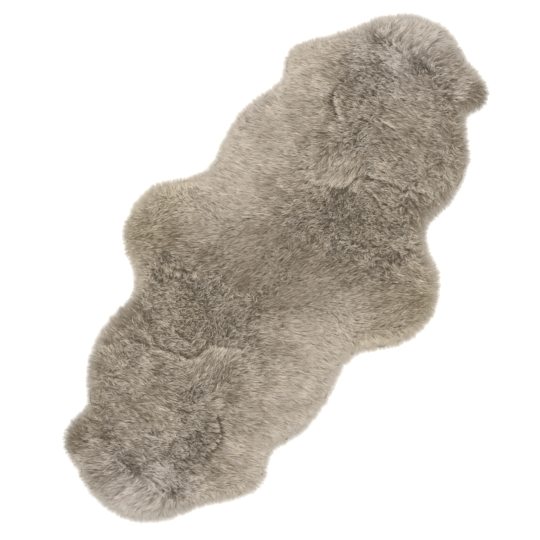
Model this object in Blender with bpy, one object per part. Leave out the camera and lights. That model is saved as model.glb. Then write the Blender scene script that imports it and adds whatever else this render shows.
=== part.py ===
"""A double sheepskin rug: two pelts sewn tail to tail, lying wool side up on a floor.

Each pelt is a thin hide with a slab of wool on it. The wool is a lumpy slab whose rim breaks up
into locks, which stand out past the hide and rest on the floor. The second pelt lies turned half
round, so that a head end points each way.
Metres, +Z up, +Y along the rug towards the first pelt's head, origin on the floor under the middle.
"""

import math
import random

import bmesh
import bpy
import numpy as np
from mathutils import Vector, noise

MM = 0.001

# Thicknesses and heights.
HIDE_THICKNESS = 2.0 * MM
GAP = 0.3 * MM
PILE = 46 * MM  # top of the wool above the hide, where it stands fullest
RIM_HEIGHT = 17 * MM  # top of the wool above the hide, where the locks part
ROUNDING = 95 * MM  # width of the band in which the wool rounds down to its rim

# How far in from the wool's outer edge each piece ends.
SLAB_INSET = 24 * MM
HIDE_INSET = 30 * MM

# Unevenness of the wool: height of the lumps, their width, and how far they reach along the rug.
LUMP_HEIGHT = 6 * MM
LUMP_WIDTH = 75 * MM
SWELL_HEIGHT = 5 * MM
SWELL_WIDTH = 260 * MM

# Cells of a pelt's slab, from side to side and from the seam to the head. Each rim cell is a lock.
CELLS_ACROSS = 30
CELLS_ALONG = 42
EASING_ROUNDS = 2  # each evens out the cells' sizes a little

# A lock's two outer rings: share of the way out, share of its root's width, underside, top.
LOCK_RINGS = (
    {"reach": 0.55, "width": 0.76, "underside": 0.0, "top": 12 * MM},
    {"reach": 1.00, "width": 0.22, "underside": 0.0, "top": 4 * MM},
)
SHORTEST_LOCK = 0.70  # as a share of the longest
SIDEWAYS = 0.28  # how far a lock's tip leans to either side, in shares of its root's width

OUTLINE_SAMPLES = 2400
NORMAL_SPAN = 26 * MM  # stretch of the edge over which its direction is taken
HIDE_POINTS = 110

# Outer edge of the wool, in millimetres from the middle of the seam, x across and y to the head.
# Each pelt is given in its own frame, with its head up, and runs anticlockwise from the seam.
FIRST_PELT = {
    "right_side": (
        (433, 0), (470, 60), (479, 127), (470, 188), (442, 242), (406, 282), (358, 309), (318, 340),
        (309, 375), (321, 424), (327, 485), (316, 545), (303, 594), (277, 632), (242, 670),
        (211, 700), (229, 727), (241, 757), (236, 790),
    ),
    "head": (
        (215, 820), (182, 836), (106, 855), (61, 882), (0, 898), (-55, 890), (-121, 864),
        (-176, 821), (-206, 776), (-248, 715), (-297, 654),
    ),
    "left_side": (
        (-339, 606), (-358, 554), (-341, 505), (-323, 468), (-345, 412), (-367, 348), (-370, 273),
        (-358, 194), (-350, 136), (-370, 88), (-412, 45),
    ),
}
SECOND_PELT = {
    "right_side": (
        (450, 0), (468, 45), (470, 100), (460, 165), (443, 197), (415, 228), (369, 258), (333, 288),
        (317, 330), (324, 380), (335, 440), (329, 500), (312, 560), (295, 597), (254, 651),
        (233, 682), (243, 712), (249, 748), (239, 800),
    ),
    "head": (
        (205, 833), (140, 860), (85, 890), (0, 905), (-80, 893), (-133, 863), (-169, 833),
        (-196, 795), (-230, 742), (-282, 682), (-332, 621),
    ),
    "left_side": (
        (-352, 570), (-340, 520), (-318, 470), (-345, 409), (-363, 348), (-368, 270), (-360, 197),
        (-348, 130), (-359, 80), (-392, 42),
    ),
}

COLLECTION = "sheepskin_rug"
WOOL_COLOUR = (0.342, 0.287, 0.224, 1.0)
HIDE_COLOUR = (0.578, 0.462, 0.337, 1.0)


def clear_scene():
    for obj in list(bpy.data.objects):
        bpy.data.objects.remove(obj, do_unlink=True)


def material(name, colour, roughness):
    made = bpy.data.materials.new(name)
    made.use_nodes = True
    shader = made.node_tree.nodes["Principled BSDF"]
    shader.inputs["Base Color"].default_value = colour
    shader.inputs["Roughness"].default_value = roughness
    shader.inputs["Metallic"].default_value = 0.0
    return made


def link(name, data, finish, collection):
    """A new object for one sub-part."""
    obj = bpy.data.objects.new(name, data)
    data.materials.append(finish)
    collection.objects.link(obj)
    return obj


# The rug's edge, as loops of points that share one numbering: the same number is the same place
# along the edge on the outer edge, on the slab's edge and on the hide's edge.


def smooth_loop(points, samples):
    """A closed curve through the points, sampled at even steps of its length."""
    before = np.roll(points, 1, axis=0)
    after = np.roll(points, -1, axis=0)
    beyond = np.roll(points, -2, axis=0)
    curve = []
    for t in np.linspace(0.0, 1.0, 24, endpoint=False):
        curve.append(
            0.5 * (2 * points + (after - before) * t)
            + 0.5 * (2 * before - 5 * points + 4 * after - beyond) * t**2
            + 0.5 * (3 * points - before - 3 * after + beyond) * t**3
        )
    curve = np.stack(curve, axis=1).reshape(-1, 2)
    closed = np.vstack((curve, curve[:1]))
    length = np.concatenate(([0.0], np.cumsum(np.linalg.norm(np.diff(closed, axis=0), axis=1))))
    even = np.linspace(0.0, length[-1], samples, endpoint=False)
    return np.column_stack([np.interp(even, length, closed[:, axis]) for axis in (0, 1)])


def inset(loop, distance):
    """The loop moved inwards, square to its own direction."""
    step = np.linalg.norm(loop[1] - loop[0])
    span = round(NORMAL_SPAN / step / 2)
    along = np.roll(loop, -span, axis=0) - np.roll(loop, span, axis=0)
    along /= np.linalg.norm(along, axis=1, keepdims=True)
    return loop - distance * np.column_stack((along[:, 1], -along[:, 0]))


def at(loop, place):
    """The point of a loop at a place that may lie between two of its points, or past its ends."""
    whole = math.floor(place)
    share = place - whole
    return loop[whole % len(loop)] * (1 - share) + loop[(whole + 1) % len(loop)] * share


def even_places(loop, start, end, count):
    """Places from start to end that divide that stretch of the loop into equal lengths."""
    fine = np.linspace(start, end, 50 * count + 1)
    points = np.array([at(loop, place) for place in fine])
    length = np.concatenate(([0.0], np.cumsum(np.linalg.norm(np.diff(points, axis=0), axis=1))))
    return np.interp(np.linspace(0.0, length[-1], count + 1), length, fine)


def nearest(loop, point):
    return int(np.argmin(np.linalg.norm(loop - point, axis=1)))


def seam_crossing(loop, near, rising):
    """The place near the one given where the loop crosses the seam's line, going up or down."""
    reach = len(loop) // 12
    for place in range(near - reach, near + reach):
        low = at(loop, place)[1] - GAP / 2
        high = at(loop, place + 1)[1] - GAP / 2
        if low * high <= 0 and (high > low) == rising:
            return place + low / (low - high)
    raise ValueError("the edge doesn't cross the seam here")


def outline_points(pelt):
    return np.array([point for side in pelt.values() for point in side], float) * MM


def whole_outline():
    """Both pelts' edges as one loop, the second pelt's turned half round."""
    points = np.vstack((outline_points(FIRST_PELT), -outline_points(SECOND_PELT)))
    return smooth_loop(points, OUTLINE_SAMPLES)


class Pelt:
    """One pelt's edges, in its own frame, and the places along them where its sides meet."""

    def __init__(self, table, turn):
        self.turn = turn
        rug_edge = whole_outline()
        start = nearest(rug_edge, turn * outline_points(table)[0])
        self.outer, self.slab, self.hide = (
            turn * np.roll(inset(rug_edge, distance), -start, axis=0)
            for distance in (0.0, SLAB_INSET, HIDE_INSET)
        )
        self.ear = nearest(self.outer, np.array(table["head"][0]) * MM)
        self.leg = nearest(self.outer, np.array(table["left_side"][0]) * MM)
        other = SECOND_PELT if table is FIRST_PELT else FIRST_PELT
        self.far_end = nearest(self.outer, -outline_points(other)[0])

    def seam_ends(self, loop):
        return seam_crossing(loop, 0, True), seam_crossing(loop, self.far_end, False)


def rim_places(pelt):
    """Places along the slab's edge of the rim's cells, by side and anticlockwise."""
    right_end, left_end = pelt.seam_ends(pelt.slab)
    along_locks = (pelt.slab + pelt.outer) / 2
    return {
        "right_side": even_places(along_locks, right_end, pelt.ear, CELLS_ALONG),
        "head": even_places(along_locks, pelt.ear, pelt.leg, CELLS_ACROSS),
        "left_side": even_places(along_locks, pelt.leg, left_end, CELLS_ALONG),
    }


def stretched_grid(pelt, places):
    """Points of a grid stretched between the slab's four sides, as [across, along, xy]."""
    right = np.array([at(pelt.slab, place) for place in places["right_side"]])
    head = np.array([at(pelt.slab, place) for place in places["head"][::-1]])
    left = np.array([at(pelt.slab, place) for place in places["left_side"][::-1]])
    across = np.linspace(0.0, 1.0, CELLS_ACROSS + 1)[:, None, None]
    along = np.linspace(0.0, 1.0, CELLS_ALONG + 1)[None, :, None]
    seam = left[0] * (1 - across) + right[0] * across
    between_ends = seam * (1 - along) + head[:, None] * along
    between_sides = left[None] * (1 - across) + right[None] * across
    corners_left = left[0] * (1 - along) + left[-1] * along
    corners_right = right[0] * (1 - along) + right[-1] * along
    grid = between_ends + between_sides - corners_left * (1 - across) - corners_right * across
    for _ in range(EASING_ROUNDS):
        beside = grid[2:, 1:-1] + grid[:-2, 1:-1]
        above_and_below = grid[1:-1, 2:] + grid[1:-1, :-2]
        grid[1:-1, 1:-1] = (beside + above_and_below) / 4
    return grid


def wool_height(pelt, x, y):
    """Top of the wool above the hide. Lumps run on over the seam, so both pelts agree there."""
    edge = pelt.slab[pelt.slab[:, 1] > -SLAB_INSET]
    distance = np.linalg.norm(edge - (x, y), axis=1).min()
    inwards = min(distance / ROUNDING, 1.0)
    crown = math.sqrt(1 - (1 - inwards) ** 2)
    place = Vector((x, y, 0.0)) * pelt.turn
    swell = SWELL_HEIGHT * noise.noise(place / SWELL_WIDTH)
    lump = LUMP_HEIGHT * noise.fractal(place / LUMP_WIDTH, 1.0, 2.0, 2)
    return RIM_HEIGHT + (PILE - RIM_HEIGHT) * crown + (swell + lump) * (0.35 + 0.65 * inwards)


def wool_slab(pelt, places):
    """A closed slab on a stretched grid. Its rim's points remember their place along the edge."""
    points = stretched_grid(pelt, places)
    mesh = bmesh.new()
    bmesh.ops.create_grid(mesh, x_segments=CELLS_ACROSS, y_segments=CELLS_ALONG, size=0.5)
    rim_place = mesh.verts.layers.float.new("rim_place")
    underside = HIDE_THICKNESS + GAP
    for vert in mesh.verts:
        i = round((vert.co.x + 0.5) * CELLS_ACROSS)
        j = round((vert.co.y + 0.5) * CELLS_ALONG)
        if i == CELLS_ACROSS:
            vert[rim_place] = places["right_side"][j]
        elif i == 0:
            vert[rim_place] = places["left_side"][CELLS_ALONG - j]
        elif j == CELLS_ALONG:
            vert[rim_place] = places["head"][CELLS_ACROSS - i]
        x, y = points[i, j]
        vert.co = (x, y, underside + wool_height(pelt, x, y))
    lower = bmesh.ops.extrude_face_region(mesh, geom=mesh.faces[:], use_keep_orig=True)["geom"]
    for item in lower:
        if isinstance(item, bmesh.types.BMVert):
            item.co.z = underside
    floor = [item for item in lower if isinstance(item, bmesh.types.BMFace)]
    bmesh.ops.dissolve_faces(mesh, faces=floor)
    bmesh.ops.recalc_face_normals(mesh, faces=mesh.faces[:])
    return mesh


def rim_faces(mesh):
    """The upright faces round the slab, but for those along the seam."""
    return [
        face
        for face in mesh.faces
        if abs(face.normal.z) < 0.01 and max(vert.co.y for vert in face.verts) > GAP
    ]


def grow_locks(mesh, pelt):
    """Draws each rim face out into a lock of four sides, in two steps, down on to the floor."""
    rim_place = mesh.verts.layers.float["rim_place"]
    faces = rim_faces(mesh)
    for ring in LOCK_RINGS:
        faces = bmesh.ops.extrude_discrete_faces(mesh, faces=faces)["faces"]
        for face in faces:
            ends = sorted({round(vert[rim_place], 3) for vert in face.verts})
            middle = (ends[0] + ends[-1]) / 2
            width = (ends[-1] - ends[0]) * ring["width"]
            habit = random.Random(round(middle * 10 * pelt.turn))
            reach = ring["reach"] * habit.uniform(SHORTEST_LOCK, 1.0)
            lean = (ends[-1] - ends[0]) * ring["reach"] * habit.uniform(-SIDEWAYS, SIDEWAYS)
            level = sum(vert.co.z for vert in face.verts) / 4
            for vert in face.verts:
                side = 0.5 if vert[rim_place] > middle else -0.5
                place = middle + lean + side * width
                spot = at(pelt.slab, place) * (1 - reach) + at(pelt.outer, place) * reach
                height = ring["top"] if vert.co.z > level else ring["underside"]
                vert.co = (spot[0], spot[1], height)
    return len(faces)


def wool(name, pelt, finish, collection):
    mesh = wool_slab(pelt, rim_places(pelt))
    locks = grow_locks(mesh, pelt)
    for vert in mesh.verts:
        vert.co.x *= pelt.turn
        vert.co.y *= pelt.turn
    data = bpy.data.meshes.new(name)
    mesh.to_mesh(data)
    mesh.free()
    print(f"{name}: {locks} locks")
    return link(name, data, finish, collection)


def hide(name, pelt, finish, collection):
    """The skin itself: a flat outline, straight along the seam."""
    right_end, left_end = pelt.seam_ends(pelt.hide)
    data = bpy.data.curves.new(name, "CURVE")
    data.dimensions = "2D"
    data.fill_mode = "BOTH"
    data.extrude = HIDE_THICKNESS / 2
    spline = data.splines.new("POLY")
    spline.points.add(HIDE_POINTS - 1)
    spline.use_cyclic_u = True
    for point, place in zip(spline.points, np.linspace(right_end, left_end, HIDE_POINTS)):
        x, y = at(pelt.hide, place) * pelt.turn
        point.co = (x, y, 0.0, 1.0)
    obj = link(name, data, finish, collection)
    obj.location.z = HIDE_THICKNESS / 2
    return obj


def centre(objects):
    """Moves the rug so that the origin is under the middle of its outline."""
    bpy.context.view_layer.update()
    corners = [obj.matrix_world @ Vector(corner) for obj in objects for corner in obj.bound_box]
    middle_x = (min(c.x for c in corners) + max(c.x for c in corners)) / 2
    middle_y = (min(c.y for c in corners) + max(c.y for c in corners)) / 2
    for obj in objects:
        obj.location.x -= middle_x
        obj.location.y -= middle_y
    print(f"middle of the outline was at {middle_x / MM:.2f}, {middle_y / MM:.2f} mm")


def build():
    clear_scene()
    collection = bpy.data.collections.new(COLLECTION)
    bpy.context.scene.collection.children.link(collection)
    wool_finish = material("shorn wool", WOOL_COLOUR, 0.95)
    hide_finish = material("tanned sheep leather", HIDE_COLOUR, 0.8)
    rug = []
    for letter, table, turn in (("a", FIRST_PELT, 1), ("b", SECOND_PELT, -1)):
        pelt = Pelt(table, turn)
        rug.append(hide(f"hide_pelt_{letter}", pelt, hide_finish, collection))
        rug.append(wool(f"wool_pelt_{letter}", pelt, wool_finish, collection))
    centre(rug)


build()
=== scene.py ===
# %% [markdown]
# # A double sheepskin rug
#
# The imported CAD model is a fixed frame: two flat hides and two lumpy slabs of wool, in metres, with
# the floor at z = 0. This lesson dresses it. The hides become suede leather, a seam of overcast
# stitches joins them underneath, and each slab of wool becomes a felted underlayer with tens of
# thousands of locks growing out of it.
#
# The CAD box is noted first, because the dressed rug has to stay its size.

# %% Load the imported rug
import math

import bmesh
import bpy
import numpy as np
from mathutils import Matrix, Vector, noise
from mathutils.bvhtree import BVHTree


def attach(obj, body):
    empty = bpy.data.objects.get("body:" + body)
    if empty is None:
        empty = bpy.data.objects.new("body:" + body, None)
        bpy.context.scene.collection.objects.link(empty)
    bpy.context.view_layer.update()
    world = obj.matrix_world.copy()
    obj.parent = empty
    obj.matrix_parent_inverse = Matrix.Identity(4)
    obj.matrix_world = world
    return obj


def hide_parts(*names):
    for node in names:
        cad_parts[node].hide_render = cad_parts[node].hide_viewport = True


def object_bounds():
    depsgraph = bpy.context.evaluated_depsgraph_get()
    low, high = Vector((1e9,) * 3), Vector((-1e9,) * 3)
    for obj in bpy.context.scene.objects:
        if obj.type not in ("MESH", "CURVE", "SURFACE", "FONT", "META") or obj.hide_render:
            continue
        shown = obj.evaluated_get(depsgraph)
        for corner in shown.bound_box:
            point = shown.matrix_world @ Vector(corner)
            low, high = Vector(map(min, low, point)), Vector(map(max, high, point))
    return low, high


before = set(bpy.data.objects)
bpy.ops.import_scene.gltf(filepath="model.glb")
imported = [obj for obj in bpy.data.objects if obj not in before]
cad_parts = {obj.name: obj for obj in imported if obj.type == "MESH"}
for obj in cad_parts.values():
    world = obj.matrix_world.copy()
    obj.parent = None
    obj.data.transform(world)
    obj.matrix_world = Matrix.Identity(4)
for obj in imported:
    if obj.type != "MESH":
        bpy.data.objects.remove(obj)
cad_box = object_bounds()

MM = 0.001
PELTS = {"a": 1, "b": -1}  # each pelt's letter, and the side of the seam on which it lies
print("CAD box, mm:", [[round(c / MM) for c in corner] for corner in cad_box])

# %% [markdown]
# ## The view, the floor and the light
#
# The rug was photographed from straight above with its long axis leaning to the right. The camera
# therefore looks straight down, turned about its own axis, and far enough away for the nearer wool
# not to look bigger.
#
# The studio is plain: a pale seamless floor, an even white surround, and one large soft lamp
# almost straight overhead. A lamp from one side would darken the rug's other flank. From overhead,
# wool that lies flat turns its side to the light and shines, and wool that stands up shows its
# tips and the dark between them, which is how the rug was lit.

# %% Camera
VIEW_CENTRE = (-15.1 * MM, -17.1 * MM)
VIEW_WIDTH = 1636 * MM
VIEW_LEVEL = 12 * MM  # height above the floor at which the view is that wide
VIEW_TURN = math.radians(35.16)
LENS_MM = 85.0
SENSOR_MM = 36.0


def place(name, data):
    """A new object in the scene with this data."""
    obj = bpy.data.objects.new(name, data)
    bpy.context.scene.collection.objects.link(obj)
    return obj


camera_data = bpy.data.cameras.new("studio_camera")
camera_data.lens = LENS_MM
camera_data.sensor_width = SENSOR_MM
camera = place("studio_camera", camera_data)
camera.location = (*VIEW_CENTRE, VIEW_WIDTH * LENS_MM / SENSOR_MM + VIEW_LEVEL)
camera.rotation_euler = (0.0, 0.0, VIEW_TURN)
bpy.context.scene.camera = camera
print("camera height, m:", round(camera.location.z, 3))

# %% Floor and light
FLOOR_SIZE = 12.0
SURROUND_STRENGTH = 0.8
LAMP_PLACE = Vector((-0.3, 0.4, 5.0))
LAMP_SIZE = 2.4
LAMP_WATTS = 196.0

bpy.ops.object.select_all(action="DESELECT")
bpy.ops.mesh.primitive_plane_add(size=FLOOR_SIZE)
floor = bpy.context.active_object
floor.name = "studio_floor"

world = bpy.data.worlds.new("white_surround")
world.use_nodes = True
world.node_tree.nodes["Background"].inputs["Color"].default_value = (1.0, 1.0, 1.0, 1.0)
world.node_tree.nodes["Background"].inputs["Strength"].default_value = SURROUND_STRENGTH
bpy.context.scene.world = world
bpy.context.scene.view_settings.view_transform = "Standard"

lamp_data = bpy.data.lights.new("softbox", "AREA")
lamp_data.shape = "SQUARE"
lamp_data.size = LAMP_SIZE
lamp_data.energy = LAMP_WATTS
lamp = place("softbox", lamp_data)
lamp.location = LAMP_PLACE
lamp.rotation_euler = (-LAMP_PLACE).to_track_quat("-Z", "Y").to_euler()
print("lamp height, m:", LAMP_PLACE.z)

# %% [markdown]
# ## Materials
#
# Every colour is picked as an sRGB hex value and turned to the linear values that the shader
# wants. One small function adds a node with its settings and links. Patterns are noise on Object
# coordinates, in metres, so each one's scale is one over the size of what it draws.

# %% Helpers for materials


def linear(hex_colour):
    """An sRGB hex colour as linear RGBA."""
    channels = [int(hex_colour[i : i + 2], 16) / 255 for i in (1, 3, 5)]
    curve = [c / 12.92 if c <= 0.04045 else ((c + 0.055) / 1.055) ** 2.4 for c in channels]
    return (*curve, 1.0)


def new_material(name, **sockets):
    """A material whose shader has these constant settings; spaces in names are written as _."""
    made = bpy.data.materials.new(name)
    made.use_nodes = True
    shader = made.node_tree.nodes["Principled BSDF"]
    for socket, value in sockets.items():
        shader.inputs[socket.replace("_", " ")].default_value = value
    return made, shader


def add(material, kind, settings=None, **links):
    """Adds a node and gives it back. settings holds its properties, its unlinked inputs and a
    colour ramp's (place, hex colour) stops; links holds its linked inputs, i0 and i1 by number."""
    node = material.node_tree.nodes.new(f"ShaderNode{kind}")
    for key, value in (settings or {}).items():
        if key == "stops":
            while len(node.color_ramp.elements) < len(value):
                node.color_ramp.elements.new(0.5)
            for element, (place, colour) in zip(node.color_ramp.elements, value):
                element.position, element.color = place, linear(colour)
        elif isinstance(key, str) and hasattr(node, key):
            setattr(node, key, value)
        else:
            node.inputs[key].default_value = value
    for socket, source in links.items():
        key = int(socket[1:]) if socket[0] == "i" and socket[1:].isdigit() else socket
        material.node_tree.links.new(source, node.inputs[key])
    return node


# %% [markdown]
# ### Seamless studio paper
#
# The rug lies on photographic paper: smooth, matte and close to white. One flat colour would do,
# but real paper is never quite even, so a fine grain shifts it by a shade.

# %% Floor paper
PAPER_GRAIN = 2.5 * MM

paper, paper_shader = new_material("seamless_paper", Roughness=0.95, Specular_IOR_Level=0.1)
where = add(paper, "TexCoord").outputs["Object"]
grain = add(paper, "TexNoise", {"Scale": 1 / PAPER_GRAIN, "Detail": 2.0}, Vector=where)
paper_tones = {"stops": ((0.3, "#fafaf9"), (0.7, "#fdfdfc"))}
tint = add(paper, "ValToRGB", paper_tones, Fac=grain.outputs["Fac"])
paper.node_tree.links.new(tint.outputs["Color"], paper_shader.inputs["Base Color"])
floor.data.materials.append(paper)
print(paper.name, len(paper.node_tree.nodes), "nodes")

# %% [markdown]
# ### Suede side of tanned sheep leather
#
# The flesh side of a tanned skin is buffed to a short nap. The eye gets a matte, pale cream
# surface with soft blotches a few centimetres wide, a nap of about a millimetre and shallow
# creases. A photo of leather would repeat over so large a piece. Noise doesn't, and the nap and
# creases are so shallow beside the hide's 2 mm that a bump shows them well enough.

# %% Suede
BLOTCH_WIDTH = 60 * MM
NAP_WIDTH = 1.2 * MM
CREASE_SPACING = 26 * MM
CREASE_WANDER = 40 * MM

suede, suede_shader = new_material(
    "suede_sheep_leather",
    Roughness=0.88,
    Sheen_Weight=0.25,
    Sheen_Roughness=0.5,
    Specular_IOR_Level=0.25,
)
where = add(suede, "TexCoord").outputs["Object"]
blotching = {"Scale": 1 / BLOTCH_WIDTH, "Detail": 4.0, "Roughness": 0.6}
blotches = add(suede, "TexNoise", blotching, Vector=where)
napping = {"Scale": 1 / NAP_WIDTH, "Detail": 3.0, "Roughness": 0.7}
nap = add(suede, "TexNoise", napping, Vector=where)
cream_tones = {"stops": ((0.3, "#c9b798"), (0.5, "#d9caae"), (0.7, "#e4d8c1"))}
tone = add(suede, "ValToRGB", cream_tones, Fac=blotches.outputs["Fac"])
nap_tones = {"stops": ((0.3, "#c4c0ba"), (0.6, "#ffffff"))}
speck = add(suede, "ValToRGB", nap_tones, Fac=nap.outputs["Fac"])
coloured = add(
    suede,
    "MixRGB",
    {"blend_type": "MULTIPLY", "Fac": 0.6},
    Color1=tone.outputs["Color"],
    Color2=speck.outputs["Color"],
)
suede.node_tree.links.new(coloured.outputs["Color"], suede_shader.inputs["Base Color"])

# %% Nap and creases of the suede
stray = {"operation": "SCALE", "Scale": CREASE_WANDER}
shift = add(suede, "VectorMath", stray, i0=blotches.outputs["Color"])
bent = add(suede, "VectorMath", {"operation": "ADD"}, i0=where, i1=shift.outputs["Vector"])
cells = {"feature": "DISTANCE_TO_EDGE", "Scale": 1 / CREASE_SPACING}
creases = add(suede, "TexVoronoi", cells, Vector=bent.outputs["Vector"])
fine = add(suede, "Bump", {"Strength": 0.5, "Distance": 0.3 * MM}, Height=nap.outputs["Fac"])
crease_line = {"stops": ((0.0, "#000000"), (0.08, "#ffffff"))}
line = add(suede, "ValToRGB", crease_line, Fac=creases.outputs["Distance"])
folded = add(
    suede,
    "Bump",
    {"Strength": 0.35, "Distance": 0.4 * MM},
    Height=line.outputs["Color"],
    Normal=fine.outputs["Normal"],
)
suede.node_tree.links.new(folded.outputs["Normal"], suede_shader.inputs["Normal"])
print(suede.name, len(suede.node_tree.nodes), "nodes")

# %% [markdown]
# ### Waxed linen thread
#
# Furriers sew with waxed thread: hard, slightly shiny, and twisted about once a millimetre. The
# twist could be modelled, but a stitch is less than a millimetre thick, so slanted bands that
# colour and raise it are enough.

# %% Thread
BAND_SCALE = 1 / (3 * MM)  # the wave node draws about three bands in one over its scale

linen, linen_shader = new_material("waxed_linen_thread", Roughness=0.5)
where = add(linen, "TexCoord").outputs["Object"]
bands = {"Scale": BAND_SCALE, "bands_direction": "DIAGONAL", "Distortion": 1.0}
twist = add(linen, "TexWave", bands, Vector=where)
linen_tones = {"stops": ((0.2, "#b9a888"), (0.8, "#dccfb4"))}
tint = add(linen, "ValToRGB", linen_tones, Fac=twist.outputs["Fac"])
linen.node_tree.links.new(tint.outputs["Color"], linen_shader.inputs["Base Color"])
ply = add(linen, "Bump", {"Strength": 0.6, "Distance": 0.2 * MM}, Height=twist.outputs["Fac"])
linen.node_tree.links.new(ply.outputs["Normal"], linen_shader.inputs["Normal"])
print(linen.name, len(linen.node_tree.nodes), "nodes")

# %% [markdown]
# ### Felted underwool
#
# Near the skin the wool is dense and hardly lit, so the eye sees it dark and warm between the
# locks. Its colour is painted so: partly the wool's own darker colour near the skin and partly
# painted shade. It is never seen by itself, so a noise as wide as a tuft, in colour and in bump, is
# all that it needs.

# %% Underwool
FELT_GRAIN = 9 * MM

underwool, underwool_shader = new_material(
    "felted_underwool", Roughness=0.95, Sheen_Weight=0.2, Specular_IOR_Level=0.1
)
where = add(underwool, "TexCoord").outputs["Object"]
felting = {"Scale": 1 / FELT_GRAIN, "Detail": 5.0, "Roughness": 0.7}
tufts = add(underwool, "TexNoise", felting, Vector=where)
# Painted shade: the felt's dark colours stand in for the shade deep in the fleece, on top of the
# wool's own darker colour near the skin.
felt_tones = {"stops": ((0.3, "#5e523d"), (0.5, "#74674f"), (0.7, "#8a7c63"))}
tint = add(underwool, "ValToRGB", felt_tones, Fac=tufts.outputs["Fac"])
underwool.node_tree.links.new(tint.outputs["Color"], underwool_shader.inputs["Base Color"])
matted = add(underwool, "Bump", {"Strength": 0.8, "Distance": 3 * MM}, Height=tufts.outputs["Fac"])
underwool.node_tree.links.new(matted.outputs["Normal"], underwool_shader.inputs["Normal"])
print(underwool.name, len(underwool.node_tree.nodes), "nodes")

# %% [markdown]
# ### Combed wool
#
# Each lock is painted light at its tip and dark at its root: partly the wool's own darker roots and
# partly painted shade deep in the fleece and painted light on the tips. No two locks have quite the
# same shade. Some of the wool is yellowed by its own grease, in the lobes more than at the head. A
# material of its own for every shade would be too many, so all three are kept in the lock's own UV
# map. v runs from root to tip. u is split into four strips, from plain to yellowed wool, and within
# each strip it is the shade of the whole lock, from dark to light.

# %% Wool
WOOL_UV = "OFBake"
TINT_STRIPS = 4


def combed_wool(name, plain, yellowed):
    """Wool of a lock. plain and yellowed are each four hex colours: the darkest and lightest root,
    and the darkest and lightest tip."""
    made, shader = new_material(
        name,
        Roughness=0.8,
        Sheen_Weight=0.3,
        Sheen_Roughness=0.45,
        Sheen_Tint=linear("#f8efe2"),
        Specular_IOR_Level=0.2,
    )
    uv = add(made, "UVMap", {"uv_map": WOOL_UV})
    parts = add(made, "SeparateXYZ", Vector=uv.outputs["UV"])
    strip = add(made, "Math", {"operation": "MULTIPLY", 1: TINT_STRIPS}, i0=parts.outputs["X"])
    shade = add(made, "Math", {"operation": "FRACT"}, i0=strip.outputs[0])
    whole = add(made, "Math", {"operation": "FLOOR"}, i0=strip.outputs[0])
    tint = add(made, "Math", {"operation": "DIVIDE", 1: TINT_STRIPS - 1}, i0=whole.outputs[0])
    ends = []
    for dark, light in ((0, 1), (2, 3)):
        tones = []
        for pick in (dark, light):
            pair = {"Color1": linear(plain[pick]), "Color2": linear(yellowed[pick])}
            tones.append(add(made, "MixRGB", pair, Fac=tint.outputs[0]).outputs[0])
        end = add(made, "MixRGB", Fac=shade.outputs[0], Color1=tones[0], Color2=tones[1])
        ends.append(end.outputs[0])
    # Painted shade and light: the ramp darkens each lock towards its root and lightens it to its tip.
    rise_stops = ((0.0, "#000000"), (0.3, "#4a4a4a"), (0.62, "#c8c8c8"), (1.0, "#ffffff"))
    rise = add(made, "ValToRGB", {"stops": rise_stops}, Fac=parts.outputs["Y"])
    colour = add(made, "MixRGB", Fac=rise.outputs["Color"], Color1=ends[0], Color2=ends[1])
    made.node_tree.links.new(colour.outputs["Color"], shader.inputs["Base Color"])
    print(made.name, len(made.node_tree.nodes), "nodes")
    return made


wool = combed_wool(
    "combed_wool",
    plain=("#3b2d1c", "#6b5a43", "#786a57", "#e6ddd3"),
    yellowed=("#3d2f18", "#6f5b38", "#7b6a4a", "#e6d8be"),
)
# The rim's colours are lighter than the fleece's: painted light, for the light that comes through
# thin wool over the pale floor.
rim_wool = combed_wool(
    "combed_wool_of_the_rim",
    plain=("#5d5347", "#8c8172", "#938778", "#efe7dd"),
    yellowed=("#5f533c", "#8f7f63", "#958466", "#eee1ca"),
)

# %% [markdown]
# ## The hides
#
# A tanned sheepskin is about 2 mm thick and is cut to the skin's own outline. It could be traced
# again, but the CAD model has the outline already, so a copy of each CAD hide is the start. The
# copy's loose triangles are merged and dissolved to one face on each side. Its cut edge is
# rounded, as a knife and wear leave it. Along the seam the leather is pared away underneath, so
# that the stitches there don't lift the rug.

# %% Helpers for pieces


def only(obj):
    """Selects one object alone and makes it active."""
    bpy.ops.object.select_all(action="DESELECT")
    obj.select_set(True)
    bpy.context.view_layer.objects.active = obj


def edit_all():
    """Starts editing the active object, with all of it selected."""
    bpy.ops.object.mode_set(mode="EDIT")
    bpy.ops.mesh.select_all(action="SELECT")


def copy_of_node(node, name):
    """A merged copy of a CAD node's mesh as a new object at the origin."""
    obj = place(name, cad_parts[node].data.copy())
    only(obj)
    edit_all()
    bpy.ops.mesh.remove_doubles(threshold=0.01 * MM)
    bpy.ops.mesh.dissolve_limited(angle_limit=math.radians(0.5))
    bpy.ops.object.mode_set(mode="OBJECT")
    return obj


def finish_piece(obj, material):
    """Gives a piece its material and the body that it rides on."""
    obj.data.materials.clear()
    obj.data.materials.append(material)
    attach(obj, "root")


def triangles(obj):
    return sum(len(face.vertices) - 2 for face in obj.data.polygons)


# %% Cut the hides
SEAM_Y = 2.57 * MM  # the seam lies this far from the middle of the outline
ON_SEAM = 1 * MM  # nearer than this to the seam's line is on it
LEVEL = 0.1 * MM  # an edge that rises by less than this is level
HIDE_MIDDLE = 1 * MM  # halfway up the leather
PARED_BAND = 7 * MM
PARED_DEPTH = 0.9 * MM
PARED_CUTS = (0.25, 0.5, 0.75, 1.0)  # shares of the band at which the leather can bend
EDGE_ROUND = 0.6 * MM


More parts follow.
